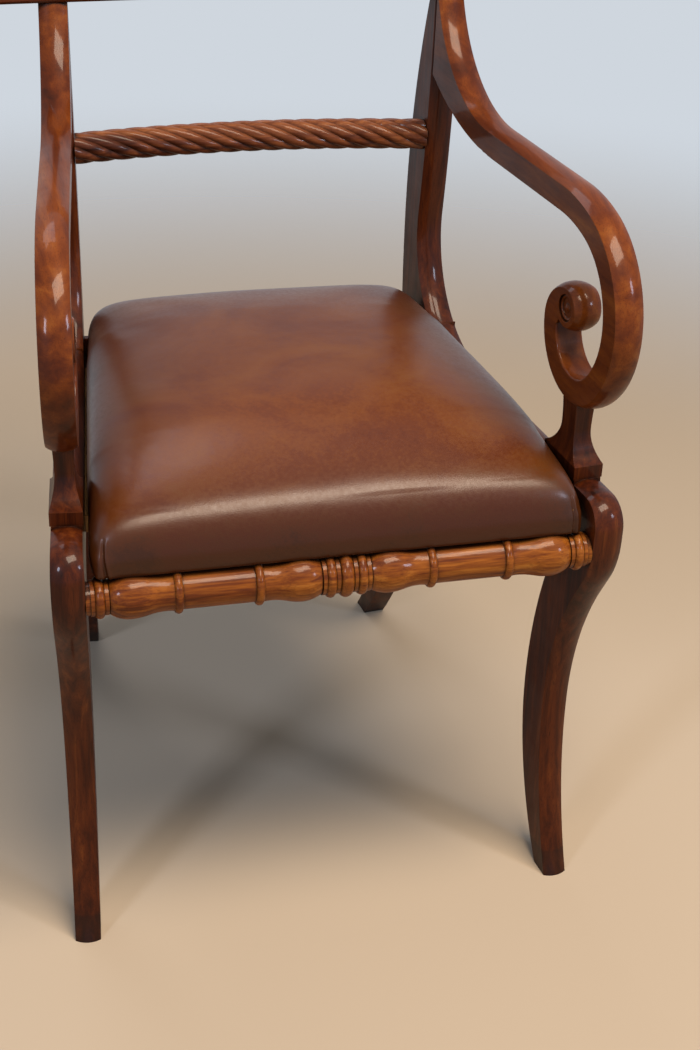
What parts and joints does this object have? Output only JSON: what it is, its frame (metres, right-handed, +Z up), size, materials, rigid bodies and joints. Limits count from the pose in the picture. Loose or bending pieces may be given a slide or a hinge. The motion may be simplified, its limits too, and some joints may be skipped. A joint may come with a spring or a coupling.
{
  "type": "carver chair",
  "caption": "Carver dining chair with sabre legs, scroll arms on square stumps, a bowed rope-twist back rail, a turned front rail and a drop-in leather seat that lifts out.",
  "frame": {"origin": "On the floor, at the middle of the bounding box in plan.", "axes": "+Z is up, -Y is the way the chair faces and +X is to the viewer's right in front of it."},
  "size_m": [0.5084, 0.5727, 0.875],
  "materials": {
    "mahogany": "french polished",
    "golden_mahogany": "french polished",
    "beech": "planed",
    "screw_steel": "plain",
    "tack_steel": "blued",
    "tan_leather": "antiqued, waxed",
    "stuffing": "hair and wadding",
    "webbing": "jute",
    "hessian": "plain weave",
    "bottom_cloth": "black cotton"
  },
  "bodies": {
    "chair_frame": {"crest_rail": "mahogany", "rear_seat_rail": "mahogany", "left_back_post": "mahogany", "right_back_post": "mahogany", "left_front_leg": "mahogany", "right_front_leg": "mahogany", "left_side_rail": "mahogany", "right_side_rail": "mahogany", "left_arm": "mahogany", "right_arm": "mahogany", "left_arm_stump": "mahogany", "right_arm_stump": "mahogany", "arm_screw_pellets": "mahogany", "rope_rail": "golden_mahogany", "front_rail": "golden_mahogany", "left_seat_bearer": "beech", "right_seat_bearer": "beech", "left_corner_block": "beech", "right_corner_block": "beech", "stump_dowels": "beech", "arm_screws": "screw_steel", "bearer_screws": "screw_steel", "corner_block_screws": "screw_steel"},
    "drop_in_seat": {"seat_front_bar": "beech", "seat_back_bar": "beech", "seat_left_bar": "beech", "seat_right_bar": "beech", "seat_tacks": "tack_steel", "seat_leather": "tan_leather", "seat_stuffing": "stuffing", "seat_webbing": "webbing", "seat_hessian": "hessian", "seat_bottom_cloth": "bottom_cloth"}
  },
  "joints": [
    {"name": "seat_lift", "type": "slide", "parent": "chair_frame", "child": "drop_in_seat", "axis": [0, 0, 1], "range_m": [0, 0.12]}
  ]
}
